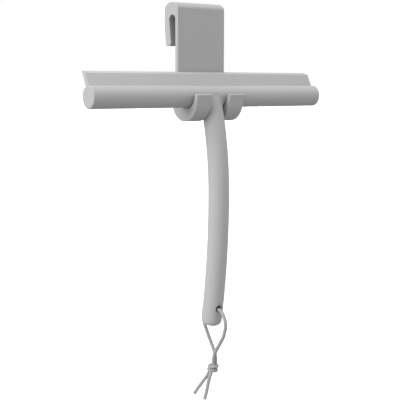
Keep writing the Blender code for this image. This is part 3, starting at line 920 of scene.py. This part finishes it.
class SQUEEGEE_OT_blade(bpy.types.Operator):
    """Sets the rubber blade into the head"""

    bl_idname = "squeegee.blade"
    bl_label = "Blade"

    # How deep it sits in the head, and the rounding of its edges
    ARC = radians(12)
    ROOT_DEPTH = 2.6 * MM
    FRONT_EDGE = 0.35 * MM
    BACK_EDGE = 0.14 * MM
    END_EDGE = 0.12 * MM

    # The height of one row of its faces, and two heights above the head meant for a bend, which are not
    # used: the blade stays straight
    ROW = 1.0 * MM
    BENDS_FROM = 0.4 * MM
    BENDS_TO = 9 * MM

    def execute(self, context):
        sizes = context.scene.squeegee_sizes
        lean = sizes.blade_lean
        along = Vector((0, sin(lean), cos(lean)))
        over = Vector((0, cos(lean), -sin(lean)))
        radius = sizes.head_diameter / 2
        half = sizes.blade_thickness / 2
        front_top = radius + sizes.blade_front_height
        back_top = radius + sizes.blade_back_height
        root = radius - self.ROOT_DEPTH
        outline = rounded(
            [
                (-half, front_top, self.FRONT_EDGE),
                (half, back_top, self.BACK_EDGE),
                (half, root, 0),
                (-half, root, 0),
            ],
            self.ARC,
        )
        fine = []
        for point, after in zip(outline, [*outline[1:], outline[0]]):
            upright = abs(after.x - point.x) < SAME_POINT
            steps = max(1, round((after - point).length / self.ROW)) if upright else 1
            fine += [point.lerp(after, step / steps) for step in range(steps)]
        bm = bmesh.new()
        corner = HEAD - X * BLADE_HALF_LENGTH - over * sizes.blade_offset
        placed = [corner + along * point.y + over * point.x for point in fine]
        ends = swept(bm, placed, X * (2 * BLADE_HALF_LENGTH))
        soften(bm, [edge for face in ends for edge in face.edges], self.END_EDGE, segments=2)
        paint = silicone_paint("blade_rubber", context.scene.squeegee_finishes.blade, roughness=0.55)
        blade = add_object("rubber_blade", finished_mesh("rubber_blade", bm, radians(30)), paint)
        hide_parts("blade")
        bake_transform(blade)
        return {"FINISHED"}


class SQUEEGEE_OT_hanger(bpy.types.Operator):
    """Moulds the hanger's silicone body with its hook, plate and trough"""

    bl_idname = "squeegee.hanger"
    bl_label = "Hanger"

    ARC = radians(5)
    SHARP = radians(50)
    CROWN_STEPS = 36

    # Radii of the side view's corners
    LIP_EDGE = 1.3 * MM
    FRONT_BELLY = 17 * MM
    BACK_BELLY = 17.3 * MM
    BACK_SWEEP = 30 * MM
    FRONT_SWEEP = 20 * MM
    LEG_EDGE = 2.2 * MM
    SLOT_CORNER_SHARE = 0.46

    # Where its bends stand
    BULGE = 5 * MM
    BULGE_TOP = 1 * MM
    SWEEP_TOP = 17 * MM
    TROUGH_DROP = 0.3 * MM
    TROUGH_BACK_TOP = 2.5 * MM
    TROUGH_SWEEP_TOP = 10 * MM
    LEG_BEND = 12 * MM

    # How far the notch's cutter reaches past the hanger
    CUTTER_BELOW = 10 * MM
    CUTTER_REACH = 30 * MM

    def execute(self, context):
        sizes = context.scene.squeegee_hanger
        bm = bmesh.new()
        outline = rounded(self.corners(context, sizes), self.ARC)
        side = [Vector((-HANGER_HALF_WIDTH, point.x, point.y)) for point in outline]
        swept(bm, side, X * (2 * HANGER_HALF_WIDTH))
        hanger = add_object("hanger_skin", finished_mesh("hanger_skin", bm))
        notch = self.notch(sizes)
        cut = hanger.modifiers.new("notch", "BOOLEAN")
        cut.object = notch
        cut.solver = "MANIFOLD"
        settle(hanger)
        bpy.data.objects.remove(notch)
        bm = bmesh.new()
        bm.from_mesh(hanger.data)
        bmesh.ops.remove_doubles(bm, verts=bm.verts, dist=SAME_POINT)
        bmesh.ops.dissolve_limit(bm, angle_limit=radians(0.5), verts=bm.verts, edges=bm.edges)
        soften(bm, sharp_edges(bm, self.SHARP), sizes.edge_round)
        hanger.data = finished_mesh("hanger_skin", bm)
        even_shading(hanger, self.SHARP)
        finishes = context.scene.squeegee_finishes
        repaint(hanger, silicone_paint("hanger_silicone", finishes.silicone))
        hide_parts("hanger_body")
        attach(hanger, "hanger")
        return {"FINISHED"}

    def corners(self, context, sizes):
        """The corners of the hanger's side view, each with its radius."""
        head_radius = context.scene.squeegee_sizes.head_diameter / 2
        plate_back = -sizes.slot_width / 2
        plate_front = plate_back - sizes.plate_thickness
        slot_back = plate_back + sizes.slot_width
        slot_corner = self.SLOT_CORNER_SHARE * sizes.slot_width
        trough = head_radius + sizes.trough_clearance
        floor_top = HEAD.z - head_radius - self.TROUGH_DROP
        trough_back = HEAD.y + trough
        bulge = plate_back + self.BULGE
        lip_top = HEAD.z + sizes.lip_rise
        lean_out = tan(sizes.lip_lean)
        inner_foot = HEAD.y - trough / cos(sizes.lip_lean) + trough * lean_out
        inner_top = inner_foot - (lip_top - floor_top) * lean_out
        outer_top = inner_top - sizes.lip_thickness / cos(sizes.lip_lean)
        outer_foot = outer_top + (lip_top - FLOOR_BOTTOM) * lean_out
        leg_inner = plate_back + sizes.mouth_width
        leg_back = slot_back + sizes.leg_thickness
        shoulder = sizes.crown_thickness - sizes.crown_rise
        half = (leg_back - plate_front) / 2
        crown = []
        for step in range(self.CROWN_STEPS + 1):
            turn = pi * step / self.CROWN_STEPS
            across = leg_back - half + half * cos(turn)
            crown.append((across, shoulder + sizes.crown_rise * sin(turn), 0))
        return [
            (outer_top, lip_top, self.LIP_EDGE),
            (outer_foot, FLOOR_BOTTOM, self.FRONT_BELLY),
            (bulge, FLOOR_BOTTOM, self.BACK_BELLY),
            (bulge, HEAD.z + self.BULGE_TOP, self.BACK_SWEEP),
            (plate_back, HEAD.z + self.SWEEP_TOP, self.BACK_SWEEP),
            (plate_back, 0, slot_corner),
            (slot_back, 0, slot_corner),
            (leg_inner, -sizes.slot_depth, self.LEG_EDGE),
            (leg_inner + sizes.leg_end_thickness, -sizes.slot_depth, self.LEG_EDGE),
            (leg_back, -self.LEG_BEND, self.BACK_SWEEP),
            *crown,
            (plate_front, floor_top + trough + self.TROUGH_SWEEP_TOP, self.FRONT_SWEEP),
            (trough_back, floor_top + trough + self.TROUGH_BACK_TOP, self.FRONT_SWEEP),
            (trough_back, floor_top, trough - SAME_POINT),
            (inner_foot, floor_top, trough - SAME_POINT),
            (inner_top, lip_top, self.LIP_EDGE),
        ]

    def notch(self, sizes):
        """The cutter for the gap that the handle hangs through."""
        half = sizes.notch_width / 2
        top = HEAD.z + sizes.notch_top
        below = FLOOR_BOTTOM - self.CUTTER_BELOW
        outline = rounded(
            [
                (-half, below, 0),
                (half, below, 0),
                (half, top, sizes.notch_corner),
                (-half, top, sizes.notch_corner),
            ],
            self.ARC,
        )
        bm = bmesh.new()
        front = HEAD.y - self.CUTTER_REACH
        face = [Vector((point.x, front, point.y)) for point in outline]
        swept(bm, face, Vector((0, 2 * self.CUTTER_REACH, 0)))
        return add_object("notch_cutter", finished_mesh("notch_cutter", bm))


class SQUEEGEE_OT_cores(bpy.types.Operator):
    """Gives the hidden steel and plastic parts their finishes"""

    bl_idname = "squeegee.cores"
    bl_label = "Inner parts"

    def execute(self, context):
        finishes = {
            "steel": (
                steel_paint("drawn_steel"),
                ("hanger_core", "neck_stud", "neck_pin", "handle_tube"),
            ),
            "plastic": (plastic_paint("moulded_plastic"), ("head_core", "tube_plug")),
        }
        for slot, (paint, names) in finishes.items():
            for name in names:
                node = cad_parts[name]
                repaint(node, paint)
        return {"FINISHED"}


class SQUEEGEE_OT_stage(bpy.types.Operator):
    """Sets the pale floor and the soft studio light"""

    bl_idname = "squeegee.stage"
    bl_label = "Studio"

    def execute(self, context):
        finishes = context.scene.squeegee_finishes
        bm = bmesh.new()
        bmesh.ops.create_grid(bm, x_segments=1, y_segments=1, size=FLOOR_SIZE)
        bmesh.ops.translate(bm, verts=bm.verts, vec=(0, 0, CAD_BOX[0][2] - FLOOR_BELOW))
        paint = floor_paint("pale_floor", finishes.floor)
        floor = add_object("studio_floor", finished_mesh("studio_floor", bm), paint)
        floor.visible_diffuse = False
        floor.visible_glossy = False
        for name, setting, away, spread in LIGHTS:
            self.light(context, name, getattr(finishes, setting), Vector(away), radians(spread))
        self.surroundings(context, finishes.daylight)
        context.scene.view_settings.view_transform = "Standard"
        return {"FINISHED"}

    def light(self, context, name, power, away, spread):
        """A broad, distant lamp that shines from this side."""
        lamp = bpy.data.lights.new(name, "SUN")
        lamp.angle = spread
        lamp.energy = power
        placed = bpy.data.objects.new(name, lamp)
        placed.location = HEAD + away.normalized()
        placed.rotation_mode = "QUATERNION"
        placed.rotation_quaternion = (-away).to_track_quat("-Z", "Y")
        context.scene.collection.objects.link(placed)

    def surroundings(self, context, strength):
        """White wherever the camera looks, and light from all round that is weaker from below."""
        world = bpy.data.worlds.new("studio")
        world.use_nodes = True
        context.scene.world = world
        nodes, links = world.node_tree.nodes, world.node_tree.links
        back = nodes["Background"]
        seen = nodes.new("ShaderNodeBackground")
        seen.inputs["Color"].default_value = (1, 1, 1, 1)
        height = nodes.new("ShaderNodeSeparateXYZ")
        links.new(nodes.new("ShaderNodeTexCoord").outputs["Generated"], height.inputs[0])
        rise = nodes.new("ShaderNodeMapRange")
        rise.inputs["From Min"].default_value = -1
        rise.inputs["From Max"].default_value = 1
        rise.inputs["To Min"].default_value = LIGHT_FROM_BELOW
        rise.inputs["To Max"].default_value = LIGHT_FROM_ABOVE
        links.new(height.outputs["Z"], rise.inputs["Value"])
        links.new(rise.outputs[0], back.inputs["Color"])
        back.inputs["Strength"].default_value = strength
        choose = nodes.new("ShaderNodeMixShader")
        links.new(nodes.new("ShaderNodeLightPath").outputs["Is Camera Ray"], choose.inputs[0])
        links.new(back.outputs[0], choose.inputs[1])
        links.new(seen.outputs[0], choose.inputs[2])
        links.new(choose.outputs[0], nodes["World Output"].inputs[0])


class SQUEEGEE_PT_panel(bpy.types.Panel):
    """Lists the steps that build the squeegee and its studio"""

    bl_label = "Squeegee"
    bl_idname = "SQUEEGEE_PT_panel"
    bl_space_type = "VIEW_3D"
    bl_region_type = "UI"
    bl_category = "Squeegee"

    def draw(self, context):
        scene = context.scene
        for settings in (scene.squeegee_sizes, scene.squeegee_hanger, scene.squeegee_finishes):
            box = self.layout.box()
            for name in settings.__annotations__:
                box.prop(settings, name)
        for step in STEPS:
            self.layout.operator(step.bl_idname)


STEPS = (
    SQUEEGEE_OT_camera,
    SQUEEGEE_OT_cord,
    SQUEEGEE_OT_skin,
    SQUEEGEE_OT_blade,
    SQUEEGEE_OT_hanger,
    SQUEEGEE_OT_cores,
    SQUEEGEE_OT_stage,
)
CLASSES = (SqueegeeSizes, HangerSizes, SqueegeeFinishes, *STEPS, SQUEEGEE_PT_panel)


def register():
    for kind in CLASSES:
        bpy.utils.register_class(kind)
    bpy.types.Scene.squeegee_sizes = PointerProperty(type=SqueegeeSizes)
    bpy.types.Scene.squeegee_hanger = PointerProperty(type=HangerSizes)
    bpy.types.Scene.squeegee_finishes = PointerProperty(type=SqueegeeFinishes)


def unregister():
    del bpy.types.Scene.squeegee_finishes
    del bpy.types.Scene.squeegee_hanger
    del bpy.types.Scene.squeegee_sizes
    for kind in reversed(CLASSES):
        bpy.utils.unregister_class(kind)


def main():
    register()
    bpy.ops.squeegee.camera()
    bpy.ops.squeegee.cord()
    bpy.ops.squeegee.skin()
    bpy.ops.squeegee.blade()
    bpy.ops.squeegee.hanger()
    bpy.ops.squeegee.cores()
    bpy.ops.squeegee.stage()


if __name__ == "__main__":
    main()
